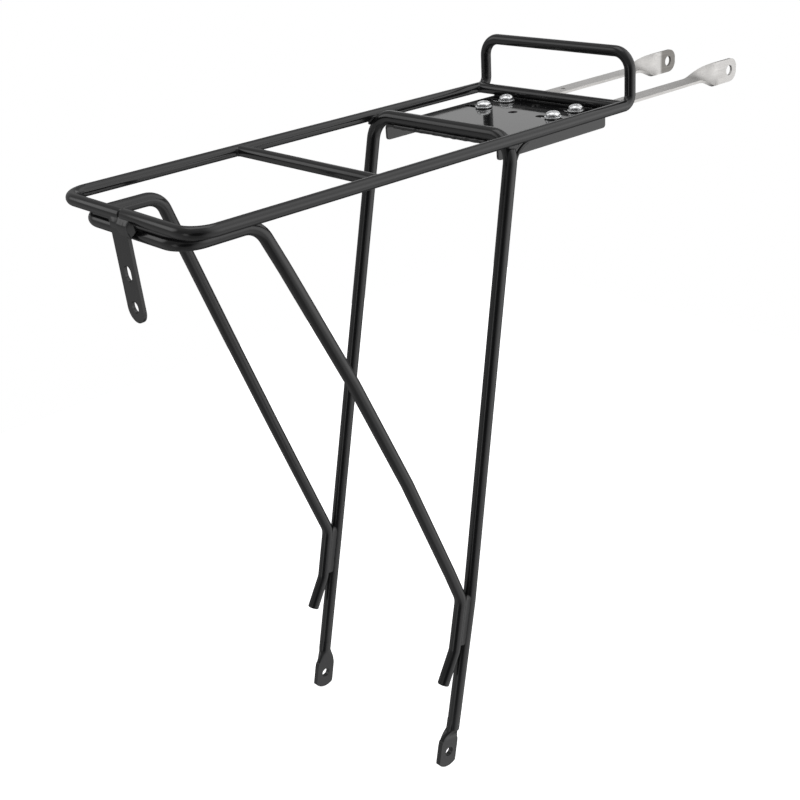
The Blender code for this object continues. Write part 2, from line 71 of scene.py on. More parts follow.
# The forged neck: its lower and upper end above the eye, and its (height, half width) on either side.
NECK_LOW, NECK_HIGH = 0.0092, 0.0250
NECK_REAR = ((0.0085, 0.0076), (0.0107, 0.0070), (0.0149, 0.0055), (0.0168, 0.0044), (0.0250, 0.0041))
NECK_FRONT = ((0.0085, 0.0070), (0.0114, 0.0064), (0.0149, 0.0050), (0.0168, 0.0043), (0.0250, 0.0041))
STRUT_RADIUS = 0.0039
LOOP_HALF_WIDTH, LOOP_X, LOOP_Z, LOOP_BEND = 0.0462, 0.0032, -0.0093, 0.014
STRUT_TOP_X, STRUT_BEND = 0.0500, 0.014
STRUT_BOW, STRUT_BOW_BEND = Vector((0.0040, 0.0108, 0.0)), 1.6
STRUT_FOOT_Z, STRUT_WELD_END_Z = -0.2836, -0.3190
STRUT_TAIL = Vector((0.1395, 0.0670, -0.3400))
STRUT_FOOT_BEND = 0.014
PLATE_REAR_X, PLATE_FRONT_X, PLATE_HALF_WIDTH = 0.2268, 0.3270, 0.050
PLATE_THICKNESS, PLATE_TOP_Z, PLATE_DEPTH, PLATE_BEND = 0.0016, -0.0039, 0.0106, 0.003
FLANGE_CORNER = 0.002
SCREW_RADIUS, SLOT_CLEARANCE = 0.0025, 0.0003
FRONT_SCREW_X, REAR_SCREW_X = 0.3163, 0.2941
SLOT_CENTRE_Y, SLOT_HALF_LENGTH, CENTRE_HOLE_RADIUS = 0.032, 0.0114, 0.003
WASHER_RADIUS, WASHER_THICKNESS = 0.0055, 0.001
HEAD_RADIUS, HEAD_HEIGHT = 0.0047, 0.0031
NUT_FLATS, NUT_HEIGHT, SCREW_PROTRUSION = 0.008, 0.004, 0.0015
STAY_THICKNESS, STAY_HALF_WIDTH, STAY_HEAD_HALF_WIDTH, STAY_LENGTH = 0.0018, 0.0068, 0.0082, 0.2236
STAY_TAIL_TO_SLOT, STAY_TRAVEL = 0.0055, 0.020
TWIST_START, TWIST_END = STAY_LENGTH - 0.054, STAY_LENGTH - 0.020
STAY_EYE_BACK, STAY_EYE_RADIUS = 0.0085, 0.0036
STAY_SPARE_HOLE_BACK, STAY_SPARE_HOLE_RADIUS = 0.129, 0.0016
TAIL_CLOSING, NOSE_CLOSING, NOSE_SQUARENESS = 0.93, 0.90, 2.4
# Each stay's screws across the plate, and how far the stay is pushed forward along its slot.
STAY_SIDES = {"left": (0.0262, 0.00425), "right": (-0.0345, -0.0052)}
# The painted shade on the left stay's front end: how far back from the front it reaches, and the length over
# which it fades in.
SHADE_END_LENGTH, SHADE_END_FADE = 0.0192, 0.0040
BRACKET_HALF_WIDTH, BRACKET_THICKNESS, BRACKET_BOTTOM_Z = 0.0077, 0.0021, -0.0590
BRACKET_SLOTS = ((-0.0310, 0.0046), (-0.0500, 0.0034))
BRACKET_SLOT_RADIUS = 0.0033
BRACKET_LEAN = radians(3.0)

STAY_TOP_Z = PLATE_TOP_Z - PLATE_THICKNESS - GAP
STAY_MIDDLE_Z = STAY_TOP_Z - STAY_THICKNESS / 2
SCREW_MIDDLE_X = (FRONT_SCREW_X + REAR_SCREW_X) / 2
SLOT_RADIUS = SCREW_RADIUS + SLOT_CLEARANCE
STAY_SLOT_HALF = (FRONT_SCREW_X - REAR_SCREW_X + STAY_TRAVEL) / 2 + SLOT_RADIUS
STAY_REAR_BACK = STAY_SLOT_HALF + STAY_TAIL_TO_SLOT
STAY_FRONT_AHEAD = STAY_LENGTH - STAY_REAR_BACK
BRACKET_X = LOOP_X - STRUT_RADIUS - 4 * GAP - BRACKET_THICKNESS / 2
BRACKET_TOP_Z = -RAIL_RADIUS - 0.0005
PLATE_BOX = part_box("stay_plate")
SHIFT = Vector((PLATE_BOX[0].x - PLATE_REAR_X, 0.0, PLATE_BOX[1].z - PLATE_TOP_Z))
LEFT_STAY_FRONT_X = SCREW_MIDDLE_X + STAY_SIDES["left"][1] + STAY_FRONT_AHEAD + SHIFT.x
FACING_FORWARD = Matrix(((0, 0, 1, 0), (1, 0, 0, 0), (0, 1, 0, 0), (0, 0, 0, 1)))
UPRIGHT = Matrix.Rotation(pi / 2, 4, "X")

# ---- detail ----
ROD_SIDES = 36
ARC_STEP = radians(4)
ROD_RIM = 0.0006
SHEET_RIM, BRACKET_RIM, TAB_RIM, STAY_RIM = 0.00016, 0.00055, 0.0006, 0.00022
THREAD_PITCH = 0.0008
THREAD_DEPTH = 0.00045
BEAD_STEP = 0.00028

# ---- camera ----
CAMERA_PLACE = Vector((-0.32140, -0.57333, 0.17847))
CAMERA_AZIMUTH = radians(41.10)
CAMERA_ELEVATION = radians(24.547)
CAMERA_ROLL = radians(4.18)
CAMERA_LENS = 57.81


# ---- mesh helpers ----
def finished_mesh(name, shape, sharp=35.0):
    bmesh.ops.recalc_face_normals(shape, faces=shape.faces)
    mesh = bpy.data.meshes.new(name)
    shape.to_mesh(mesh)
    shape.free()
    mesh.shade_smooth()
    mesh.set_sharp_from_angle(angle=radians(sharp))
    return mesh


def smooth_rise(start, end, value):
    """0 before the start, 1 past the end, and a smooth rise between them."""
    share = min(1.0, max(0.0, (value - start) / (end - start)))
    return share * share * (3 - 2 * share)


def add_object(name, data):
    item = bpy.data.objects.new(name, data)
    bpy.context.scene.collection.objects.link(item)
    return item


def applied_mesh(item):
    """An object's mesh with its modifiers applied."""
    bpy.context.view_layer.update()
    evaluated = item.evaluated_get(bpy.context.evaluated_depsgraph_get())
    return bpy.data.meshes.new_from_object(evaluated)


def add_piece(name, mesh, body, slot, *nodes):
    """Adds a mesh drawn in rack coordinates as a piece of that body, in place of the named solids."""
    mesh.transform(Matrix.Translation(SHIFT))
    mesh.materials.clear()
    mesh.materials.append(FINISHES[slot])
    piece = add_object(name, mesh)
    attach(piece, body)
    if nodes:
        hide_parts(*nodes)
    if slot not in ROUND_FINISHES:
        even = piece.modifiers.new("even_normals", "WEIGHTED_NORMAL")
        even.keep_sharp = True
        even.weight = 100


def loft(sections, ring=False):
    """Joins closed sections, each a list of points, into one solid."""
    shape = bmesh.new()
    rows = [[shape.verts.new(point) for point in section] for section in sections]
    pairs = list(zip(rows, rows[1:]))
    if ring:
        pairs.append((rows[-1], rows[0]))
    for first, second in pairs:
        for k in range(len(first)):
            after = (k + 1) % len(first)
            shape.faces.new((first[k], first[after], second[after], second[k]))
    if not ring:
        shape.faces.new(rows[0])
        shape.faces.new(rows[-1])
    return shape


def evaluated_mesh(mesh, cutters=(), operation="DIFFERENCE", thickness=None):
    """The mesh after a solidify, where a thickness is given, and exact Booleans with the cutter meshes."""
    part = add_object("work", mesh)
    tools = [add_object("tool", cutter) for cutter in cutters]
    if thickness:
        thick = part.modifiers.new("thickness", "SOLIDIFY")
        thick.thickness = thickness
        thick.offset = 0.0
    for tool in tools:
        boolean = part.modifiers.new("boolean", "BOOLEAN")
        boolean.operation = operation
        boolean.solver = "EXACT"
        boolean.object = tool
    result = applied_mesh(part)
    for item in (part, *tools):
        bpy.data.objects.remove(item)
    return result


def softened(name, mesh, width, angle=50.0, segments=3, sharp=35.0):
    """The mesh with its flat faces whole and its sharp edges rounded."""
    shape = bmesh.new()
    shape.from_mesh(mesh)
    bmesh.ops.remove_doubles(shape, verts=shape.verts, dist=1e-6)
    bmesh.ops.dissolve_limit(shape, angle_limit=radians(0.5), verts=shape.verts, edges=shape.edges)
    limit = radians(angle)
    edges = [edge for edge in shape.edges if edge.is_manifold and edge.calc_face_angle() > limit]
    bmesh.ops.bevel(shape, geom=edges, offset=width, segments=segments, profile=0.5, affect="EDGES",
                    clamp_overlap=True)
    return finished_mesh(name, shape, sharp)


def rounded_path(corners):
    """Points along straight runs joined by arcs; corners are (point, bend radius), unused at the ends."""
    points = [corners[0][0]]
    for (before, _), (corner, radius), (after, _) in zip(corners, corners[1:], corners[2:]):
        back = (before - corner).normalized()
        ahead = (after - corner).normalized()
        turn = pi - back.angle(ahead)
        reach = radius * tan(turn / 2)
        centre = corner + (back + ahead).normalized() * (radius / cos(turn / 2))
        start = corner + back * reach - centre
        axis = start.cross(corner + ahead * reach - centre).normalized()
        steps = max(2, ceil(turn / ARC_STEP))
        for k in range(steps + 1):
            points.append(centre + Matrix.Rotation(turn * k / steps, 3, axis) @ start)
    points.append(corners[-1][0])
    return points


def tangents_of(points):
    runs = [(second - first).normalized() for first, second in zip(points, points[1:])]
    middle = [(one + other).normalized() for one, other in zip(runs, runs[1:])]
    return [runs[0], *middle, runs[-1]]


def tube_sections(points, radii, sides=ROD_SIDES):
    """Round sections square to a path, each carried along from the one before without twist."""
    tangents = tangents_of(points)
    normal = tangents[0].orthogonal().normalized()
    sections = []
    for k, (point, tangent, radius) in enumerate(zip(points, tangents, radii)):
        if k:
            normal = tangents[k - 1].rotation_difference(tangent) @ normal
        across = tangent.cross(normal)
        ring = []
        for side in range(sides):
            angle = 2 * pi * side / sides
            ring.append(point + (normal * cos(angle) + across * sin(angle)) * radius)
        sections.append(ring)
    return sections


def with_rims(points, radius, rim, steps=4):
    """The path with extra points at both ends, where the radius rounds off."""
    ahead = (points[1] - points[0]).normalized()
    back = (points[-2] - points[-1]).normalized()
    profile = []
    for k in range(steps):
        angle = pi / 2 * k / steps
        profile.append((rim * (1 - cos(angle)), radius - rim * (1 - sin(angle))))
    full = [(rim, radius)]
    first = [(points[0] + ahead * along, size) for along, size in profile + full]
    last = [(points[-1] + back * along, size) for along, size in reversed(profile + full)]
    middle = [(point, radius) for point in points[1:-1]]
    return zip(*(first + middle + last))


def rod_mesh(name, points, radius, rim=ROD_RIM):
    path, radii = with_rims(points, radius, rim)
    return finished_mesh(name, loft(tube_sections(path, radii)))


def arc_points(centre, radius, start, end, steps):
    """Points of an arc in a plane, from angle start to angle end."""
    for step in range(steps + 1):
        angle = start + (end - start) * step / steps
        yield (centre[0] + radius * cos(angle), centre[1] + radius * sin(angle))


def slot_outline(centre, half_length, radius, along_y=True):
    """A slot with round ends; half_length reaches the very end of the slot."""
    straight = half_length - radius
    turned = 0.0 if along_y else -pi / 2
    reach = (0.0, straight) if along_y else (straight, 0.0)
    ahead = (centre[0] + reach[0], centre[1] + reach[1])
    behind = (centre[0] - reach[0], centre[1] - reach[1])
    return [
        *arc_points(ahead, radius, turned, turned + pi, 20),
        *arc_points(behind, radius, turned + pi, turned + 2 * pi, 20),
    ]


def circle_outline(radius, steps=40, centre=(0.0, 0.0)):
    return list(arc_points(centre, radius, 0.0, 2 * pi, steps))[:-1]


def flat_mesh(outlines, thickness, turn=Matrix.Identity(4)):
    """A flat sheet from closed outlines, the first one outside and any others holes, turned into place."""
    curve = bpy.data.curves.new("sheet", "CURVE")
    curve.dimensions = "2D"
    curve.fill_mode = "BOTH"
    curve.extrude = thickness / 2
    for outline in outlines:
        spline = curve.splines.new("POLY")
        spline.points.add(len(outline) - 1)
        for slot, (across, along) in zip(spline.points, outline):
            slot.co = (across, along, 0.0, 1.0)
        spline.use_cyclic_u = True
    carrier = add_object("sheet", curve)
    shape = bmesh.new()
    shape.from_mesh(applied_mesh(carrier))
    bpy.data.objects.remove(carrier)
    bmesh.ops.remove_doubles(shape, verts=shape.verts, dist=1e-6)
    bmesh.ops.transform(shape, matrix=turn, verts=shape.verts)
    return finished_mesh("sheet", shape)


def turned_mesh(profile, turn=Matrix.Identity(4), segments=48):
    """A turned solid: profile is (radius, height) pairs, closed by its first pair or by the axis."""
    shape = bmesh.new()
    on_axis = False
    rings = []
    for radius, height in profile:
        if radius < 1e-7:
            on_axis = True
            rings.append([shape.verts.new((0.0, 0.0, height))] * segments)
            continue
        angles = (2 * pi * k / segments for k in range(segments))
        rings.append([shape.verts.new((radius * cos(a), radius * sin(a), height)) for a in angles])
    pairs = list(zip(rings, rings[1:]))
    if not on_axis:
        pairs.append((rings[-1], rings[0]))
    for first, second in pairs:
        for k in range(segments):
            after = (k + 1) % segments
            corners = []
            for vertex in (first[k], first[after], second[after], second[k]):
                if vertex not in corners:
                    corners.append(vertex)
            shape.faces.new(corners)
    bmesh.ops.transform(shape, matrix=turn, verts=shape.verts)
    return finished_mesh("turned", shape)


def mirrored(point):
    return Vector((point.x, -point.y, point.z))


def both_sides(left_half):
    """Corners of a rod that is the same on both sides: the left half first, then its mirror image."""
    right_half = [(mirrored(point), radius) for point, radius in reversed(left_half)]
    return left_half + right_half


def joined(name, meshes, sharp=35.0):
    shape = bmesh.new()
    for mesh in meshes:
        shape.from_mesh(mesh)
    return finished_mesh(name, shape, sharp)


# ---- finishes ----
def new_finish(name, colour, **settings):
    material = bpy.data.materials.new(name)
    material.use_nodes = True
    shader = material.node_tree.nodes["Principled BSDF"]
    shader.inputs["Base Color"].default_value = (*colour, 1.0)
    for key, value in settings.items():
        shader.inputs[key].default_value = value
    material.diffuse_color = (*colour, 1.0)
    return material


def pattern(material, scale, detail=2.0, stretch=(1.0, 1.0, 1.0)):
    """A noise in the object's own coordinates, with features of about 1 / scale metres."""
    nodes, links = material.node_tree.nodes, material.node_tree.links
    place = nodes.new("ShaderNodeTexCoord")
    mapping = nodes.new("ShaderNodeMapping")
    mapping.inputs["Scale"].default_value = stretch
    links.new(place.outputs["Object"], mapping.inputs["Vector"])
    texture = nodes.new("ShaderNodeTexNoise")
    texture.inputs["Scale"].default_value = scale
    texture.inputs["Detail"].default_value = detail
    links.new(mapping.outputs["Vector"], texture.inputs["Vector"])
    return texture.outputs["Fac"]


def spread(owner, value, low, high, start=0.3, end=0.7):
    """Maps a value of the owner's nodes smoothly from start..end to low..high."""
    node = owner.node_tree.nodes.new("ShaderNodeMapRange")
    node.interpolation_type = "SMOOTHSTEP"
    for socket, number in (("From Min", start), ("From Max", end), ("To Min", low), ("To Max", high)):
        node.inputs[socket].default_value = number
    owner.node_tree.links.new(value, node.inputs["Value"])
    return node.outputs["Result"]


def blend_colours(material, factor, low, high):
    """Mixes two colours, each given as numbers or as another node's output."""
    links = material.node_tree.links
    node = material.node_tree.nodes.new("ShaderNodeMix")
    node.data_type = "RGBA"
    for socket, colour in (("A", low), ("B", high)):
        if isinstance(colour, tuple):
            node.inputs[socket].default_value = (*colour, 1.0)
        else:
            links.new(colour, node.inputs[socket])
    links.new(factor, node.inputs["Factor"])
    return node.outputs["Result"]


def set_input(material, name, value):
    shader = material.node_tree.nodes["Principled BSDF"]
    material.node_tree.links.new(value, shader.inputs[name])


def add_bumps(material, *layers):
    """Bump layers of (pattern, depth in metres), the first one deepest in the chain."""
    nodes, links = material.node_tree.nodes, material.node_tree.links
    previous = None
    for value, depth in layers:
        bump = nodes.new("ShaderNodeBump")
        bump.inputs["Strength"].default_value = 1.0
        bump.inputs["Distance"].default_value = depth
        links.new(value, bump.inputs["Height"])
        if previous:
            links.new(previous, bump.inputs["Normal"])
        previous = bump.outputs["Normal"]
    set_input(material, "Normal", previous)


def paint(name, roughness, peel, waviness):
    """Black paint: a faint orange peel, long waves in the film and slightly duller patches."""
    material = new_finish(name, (0.010, 0.010, 0.0105), IOR=1.5)
    patches = pattern(material, 45.0, 4.0)
    colour = blend_colours(material, patches, (0.005, 0.005, 0.0055), (0.011, 0.011, 0.0115))
    set_input(material, "Base Color", colour)
    dull = pattern(material, 160.0, 5.0)
    set_input(material, "Roughness", spread(material, dull, roughness[0], roughness[1]))
    waves = pattern(material, 60.0, 1.0)
    skin = pattern(material, 650.0, 2.0)
    add_bumps(material, (waves, waviness), (skin, peel))
    return material


def strip_steel(name, front_x=None):
    """Satin plated strip: fine lines, a soft mottle, and, where front_x is given, a painted shade on the
    front end: a darker colour in place of the dark surroundings it reflects.
    """
    material = new_finish(name, (0.50, 0.49, 0.475), Metallic=1.0)
    mottle = pattern(material, 90.0, 5.0)
    colour = blend_colours(material, mottle, (0.43, 0.42, 0.405), (0.56, 0.55, 0.54))
    if front_x is not None:
        # Painted shade: towards the front end the colour turns dark, standing in for the dark surroundings
        # that end reflects.
        nodes, links = material.node_tree.nodes, material.node_tree.links
        place = nodes.new("ShaderNodeTexCoord")
        split = nodes.new("ShaderNodeSeparateXYZ")
        links.new(place.outputs["Object"], split.inputs["Vector"])
        shade_from = front_x - SHADE_END_LENGTH
        share = spread(material, split.outputs["X"], 0.0, 1.0, shade_from, shade_from + SHADE_END_FADE)
        dull = blend_colours(material, mottle, (0.160, 0.152, 0.142), (0.225, 0.215, 0.202))
        colour = blend_colours(material, share, colour, dull)
    set_input(material, "Base Color", colour)
    lines = pattern(material, 1.0, 3.0, stretch=(60.0, 2600.0, 2600.0))
    set_input(material, "Roughness", spread(material, lines, 0.34, 0.50))
    grain = pattern(material, 2400.0, 2.0)
    add_bumps(material, (lines, 0.0000025), (grain, 0.000002))
    return material


def bright_zinc():
    """Bright zinc plating: clear reflections with a fine grain and faint clouding."""
    material = new_finish("bright_zinc", (0.82, 0.83, 0.845), Metallic=0.88)
    cloud = pattern(material, 500.0, 4.0)
    colour = blend_colours(material, cloud, (0.84, 0.85, 0.86), (0.95, 0.955, 0.96))
    set_input(material, "Base Color", colour)
    set_input(material, "Roughness", spread(material, cloud, 0.19, 0.30))
    grain = pattern(material, 3500.0, 2.0)
    add_bumps(material, (grain, 0.000003))
    return material


FINISHES = {
    "rod_paint": paint("black_rod_paint", (0.11, 0.19), 0.000005, 0.00003),
    "sheet_paint": paint("black_sheet_paint", (0.05, 0.09), 0.0000006, 0.0000025),
    "bracket_paint": paint("black_bracket_paint", (0.16, 0.24), 0.000004, 0.00002),
    "weld_paint": paint("black_weld_paint", (0.13, 0.22), 0.00001, 0.00006),
    "stay_steel": strip_steel("satin_steel"),
    # This finish carries the painted shade, a darker colour for reflected dark surroundings, on the left
    # stay's front end.
    "dull_ended_steel": strip_steel("dull_ended_steel", LEFT_STAY_FRONT_X),
    "zinc": bright_zinc(),
}
SLOT_OF_FINISH = {name: "black_paint" for name in FINISHES if name.endswith("_paint")}
SLOT_OF_FINISH.update(stay_steel="stay_steel", dull_ended_steel="stay_steel", zinc="zinc")
# Pieces in these finishes are round and keep the normals they have.
ROUND_FINISHES = ("rod_paint", "weld_paint")


# ---- rods of the welded frame ----
def make_platform_rail():
    side = Vector((0.0, RAIL_HALF_WIDTH, 0.0))
    front = Vector((RAIL_LENGTH, RAIL_HALF_WIDTH, 0.0))
    top = Vector((RAIL_LENGTH + HOOP_LEAN, HOOP_HALF_WIDTH, HOOP_HEIGHT))
    loop = both_sides([(side, REAR_BEND), (front, FRONT_BEND), (top, HOOP_BEND)])
    first_end = (Vector((0.0, SEAM_Y + SEAM_GAP / 2, 0.0)), 0.0)
    last_end = (Vector((-SEAM_STEP / 2, SEAM_Y - SEAM_GAP / 2, SEAM_STEP)), 0.0)
    mesh = rod_mesh("platform_rail_rod", rounded_path([first_end, *loop, last_end]), RAIL_RADIUS, 0.0009)
    add_piece("platform_rail_rod", mesh, "frame", "rod_paint", "platform_rail")


def make_cross_rod(name, node, x):
    """A cross rod with its ends sunk in the platform sides."""
    reach = RAIL_HALF_WIDTH - 0.5 * RAIL_RADIUS
    points = [Vector((x, reach * share, 0.0)) for share in (1.0, 0.5, 0.0, -0.5, -1.0)]
    add_piece(name, rod_mesh(name, points, RAIL_RADIUS), "frame", "rod_paint", node)


def leg_x(z):
    """Centre line of a leg, front to back, at height z."""
    lower, upper = (LEG_FOOT, LEG_KNEE) if z < LEG_KNEE.z else (LEG_KNEE, Vector((LEG_BAR_X, 0, LEG_BAR_Z)))
    share = (z - lower.z) / (upper.z - lower.z)
    return lower.x + share * (upper.x - lower.x)


def tab_outline():
    """Flat lower end of a leg: shoulders, the rear one lower, and a round end about the eye."""
    half = TAB_WIDTH / 2
    corner = acos(half / TAB_END_RADIUS)
    return [
        (half - TAB_TOP_FRONT_INSET, TAB_TOP),
        (-half + TAB_TOP_REAR_INSET, TAB_TOP),
        (-half - TAB_SHIFT, TAB_REAR_SHOULDER),
        *arc_points((-TAB_SHIFT, 0.0), TAB_END_RADIUS, pi + corner, 2 * pi - corner, 28),
        (half - TAB_SHIFT, TAB_FRONT_SHOULDER),
    ]


def eased_outline(outline, reach, steps=5):
    """The outline with each corner replaced by a short curve that starts up to reach away from it."""
    points = []
    count = len(outline)
    for k in range(count):
        before, here, after = (Vector(outline[(k + shift) % count]) for shift in (-1, 0, 1))
        if (here - before).angle(after - here) < radians(8):
            points.append(tuple(here))
            continue
        start = here + (before - here) * min(0.45, reach / (before - here).length)
        end = here + (after - here) * min(0.45, reach / (after - here).length)
        points += [tuple(point) for point in bezier(start, here, end, steps)]
    return points


def neck_half_width(up, forward):
    """Half width of the forged neck above the eye; its rear side flares lower than its front side."""
    places = NECK_FRONT if forward else NECK_REAR
    for (low, wide), (high, narrow) in zip(places, places[1:]):
        if up <= high:
            return wide + (narrow - wide) * (up - low) / (high - low)
    return places[-1][1]


def forged_neck(side):
    """The run from a leg's round section to the flat tab, flush with the leg's inner side."""
    up = Vector((sin(TAB_LEAN), 0.0, cos(TAB_LEAN)))
    across = Vector((cos(TAB_LEAN), 0.0, -sin(TAB_LEAN)))
    flat_inner = EYE.y - TAB_THICKNESS / 2
    flat_thickness, round_thickness = TAB_THICKNESS + 0.0001, 2 * LEG_RADIUS - 0.0004
    steps, round_from = 18, 0.56
    sections = []
    for k in range(steps + 1):
        share = k / steps
        place = NECK_LOW + (NECK_HIGH - NECK_LOW) * share
        rounding = min(1.0, share / round_from)
        thickness = flat_thickness + (round_thickness - flat_thickness) * rounding ** 1.8
        inner = flat_inner - 0.00005 - 0.00025 * rounding
        power = 2 / (6 - 4 * rounding)
        ring = []
        for j in range(48):
            angle = 2 * pi * j / 48
            ahead, outward = cos(angle), sin(angle)
            sideways = copysign(abs(ahead) ** power, ahead) * neck_half_width(place, ahead > 0)
            depth = inner + thickness / 2 * (1 + copysign(abs(outward) ** power, outward))
            point = Vector((EYE.x, 0.0, EYE.z)) + up * place + across * sideways
            ring.append(Vector((point.x, side * depth, point.z)))
        sections.append(ring)
    return finished_mesh("neck", loft(sections), 50)


def make_leg_rod():
    """The leg rod, and the flat tabs forged on its ends to carry the eyes."""
    top = Vector((leg_x(LEG_BAR_Z), LEG_TOP_Y, LEG_BAR_Z))
    end = LEG_FOOT.lerp(LEG_KNEE, 0.012)
    corners = both_sides([(end, 0.0), (LEG_KNEE, KNEE_BEND), (top, LEG_BEND)])
    mesh = rod_mesh("leg_bar_and_legs", rounded_path(corners), LEG_RADIUS, 0.0008)
    add_piece("leg_bar_and_legs", mesh, "frame", "rod_paint", "leg_rod")
    outline = eased_outline(tab_outline(), 0.003)
    for side, name in ((1, "left_leg_tab"), (-1, "right_leg_tab")):
        lean = Matrix.Rotation(TAB_LEAN, 4, "Y")
        turn = Matrix.Translation((EYE.x, side * EYE.y, EYE.z)) @ lean @ UPRIGHT
        sheet = flat_mesh([outline, circle_outline(EYE_HOLE_RADIUS, 48)], TAB_THICKNESS, turn)
        tab = softened("tab", sheet, TAB_RIM, segments=4)
        add_piece(name, joined(name, [tab, forged_neck(side)], 50), "frame", "bracket_paint", "leg_rod")


def strut_corners():
    beside = LEG_RADIUS + STRUT_RADIUS + GAP
    foot = Vector((leg_x(STRUT_FOOT_Z) - beside, LEG_KNEE.y, STRUT_FOOT_Z))
    weld_end = Vector((leg_x(STRUT_WELD_END_Z) - beside, LEG_FOOT.y, STRUT_WELD_END_Z))
    top = Vector((STRUT_TOP_X, LOOP_HALF_WIDTH, LOOP_Z))
    middle = (top + foot) / 2 + STRUT_BOW
    rear = Vector((LOOP_X, LOOP_HALF_WIDTH, LOOP_Z))
    return [
        (STRUT_TAIL, 0.0),
        (weld_end, STRUT_FOOT_BEND),
        (foot, STRUT_FOOT_BEND),
        (middle, STRUT_BOW_BEND),
        (top, STRUT_BEND),
        (rear, LOOP_BEND),
    ]


def make_strut_rod():
    mesh = rod_mesh("strut_and_loop_rod", rounded_path(both_sides(strut_corners())), STRUT_RADIUS)
    add_piece("strut_and_loop_rod", mesh, "frame", "rod_paint", "rear_strut_rod")


# ---- sheet parts of the welded frame ----
def channel_outline():
    """Section of the stay plate across the rack: a flat top with both sides bent down."""
    outer, inner = PLATE_BEND, PLATE_BEND - PLATE_THICKNESS
    half, top = PLATE_HALF_WIDTH, PLATE_TOP_Z
    centre = (half - outer, top - outer)
    mirrored_centre = (-centre[0], centre[1])
    bottom = top - PLATE_DEPTH
    return [
        (half, bottom),
        *arc_points(centre, outer, 0.0, pi / 2, 10),
        *arc_points(mirrored_centre, outer, pi / 2, pi, 10),
        (-half, bottom),
        (-half + PLATE_THICKNESS, bottom),
        *arc_points(mirrored_centre, inner, pi, pi / 2, 10),
        *arc_points(centre, inner, pi / 2, 0.0, 10),
        (half - PLATE_THICKNESS, bottom),
    ]


def flange_corner_cutter(x, forward):
    """A block that leaves a round lower corner on both flanges at one end of the plate."""
    bottom = PLATE_TOP_Z - PLATE_DEPTH
    reach = FLANGE_CORNER
    centre = (x - forward * reach, bottom + reach)
    start = -pi / 2
    outline = [
        *arc_points(centre, reach, start, start + forward * pi / 2, 12),
        (x + forward * reach, bottom + reach),
        (x + forward * reach, bottom - reach),
        (centre[0], bottom - reach),
    ]
    return flat_mesh([outline], 2.4 * PLATE_HALF_WIDTH, UPRIGHT)


def make_stay_plate():
    length = PLATE_FRONT_X - PLATE_REAR_X
    middle = Matrix.Translation(((PLATE_FRONT_X + PLATE_REAR_X) / 2, 0.0, 0.0))
    sheet = flat_mesh([channel_outline()], length, middle @ FACING_FORWARD)
    cutters = [flange_corner_cutter(PLATE_REAR_X, -1), flange_corner_cutter(PLATE_FRONT_X, 1)]
    through = Matrix.Translation((0.0, 0.0, PLATE_TOP_Z - PLATE_THICKNESS / 2))
    height = 3 * PLATE_THICKNESS
    for x in (REAR_SCREW_X, FRONT_SCREW_X):
        for side in (1, -1):
            outline = slot_outline((x, side * SLOT_CENTRE_Y), SLOT_HALF_LENGTH, SLOT_RADIUS)
            cutters.append(flat_mesh([outline], height, through))
        cutters.append(flat_mesh([circle_outline(CENTRE_HOLE_RADIUS, 40, (x, 0.0))], height, through))
    mesh = softened("stay_plate_sheet", evaluated_mesh(sheet, cutters), SHEET_RIM)
    add_piece("stay_plate_sheet", mesh, "frame", "sheet_paint", "stay_plate")


def make_bracket():
    half = BRACKET_HALF_WIDTH
    top = BRACKET_TOP_Z - LOOP_Z
    round_end = (0.0, BRACKET_BOTTOM_Z + half - LOOP_Z)
    outline = [(half, top), (-half, top), *arc_points(round_end, half, pi, 2 * pi, 36)]
    slots = [slot_outline((0.0, z - LOOP_Z), reach, BRACKET_SLOT_RADIUS) for z, reach in BRACKET_SLOTS]
    lean = Matrix.Rotation(-BRACKET_LEAN, 4, "Y")
    turn = Matrix.Translation((BRACKET_X, 0.0, LOOP_Z)) @ lean @ FACING_FORWARD
    name = "reflector_bracket_sheet"
    mesh = softened(name, flat_mesh([outline, *slots], BRACKET_THICKNESS, turn), BRACKET_RIM, segments=4)
    add_piece(name, mesh, "frame", "bracket_paint", "reflector_bracket")


# ---- welds ----
def bezier(start, control, end, steps):
    for step in range(steps + 1):
        t = step / steps
        yield start * (1 - t) ** 2 + control * 2 * t * (1 - t) + end * t ** 2


def wobble(place, seed, size=600.0):
    """A smooth irregularity between about -1 and 1 at a place."""
    return noise.noise(place * size + Vector((seed, 7.3 * seed, 1.7 * seed)))


def rounded_end(distance, reach):
    """Share of the full size at a distance from an end that closes as a quarter circle."""
    return sqrt(max(0.0, 1 - (1 - min(1.0, distance / reach)) ** 2))


def tee_weld(x, side, seed):
    """Fillet round the end of a cross rod where it meets a platform side."""
    radius, width = RAIL_RADIUS, 0.0016
    sections = []
    for k in range(84):
        angle = 2 * pi * k / 84
        across, z = cos(angle), radius * sin(angle)
        depth = sqrt(max(radius ** 2 - z ** 2, 0.0))
        root = Vector((x + radius * across, RAIL_HALF_WIDTH - depth, z))
        size = width * (0.85 - 0.15 * sin(angle)) * (1 + 0.30 * wobble(root, seed, 500.0))
        branch_normal = Vector((across, 0.0, sin(angle)))
        main_normal = Vector((0.0, -depth / radius, z / radius))
        outward = (branch_normal + main_normal).normalized()
        start = root + Vector((0.0, -size, 0.0)) - branch_normal * 0.00008
        end = root + Vector((size * across, 0.0, 0.0)) - main_normal * 0.00008
        ripple = 0.00012 * sin(angle * 15) * abs(across)
        control = root * 0.5 + (start + end) * 0.25 + outward * (0.00028 + ripple)
        section = [*bezier(start, control, end, 7), root - outward * 0.0013]
        sections.append([Vector((p.x, side * p.y, p.z)) for p in section])
    return finished_mesh("tee_weld", loft(sections, ring=True), 60)


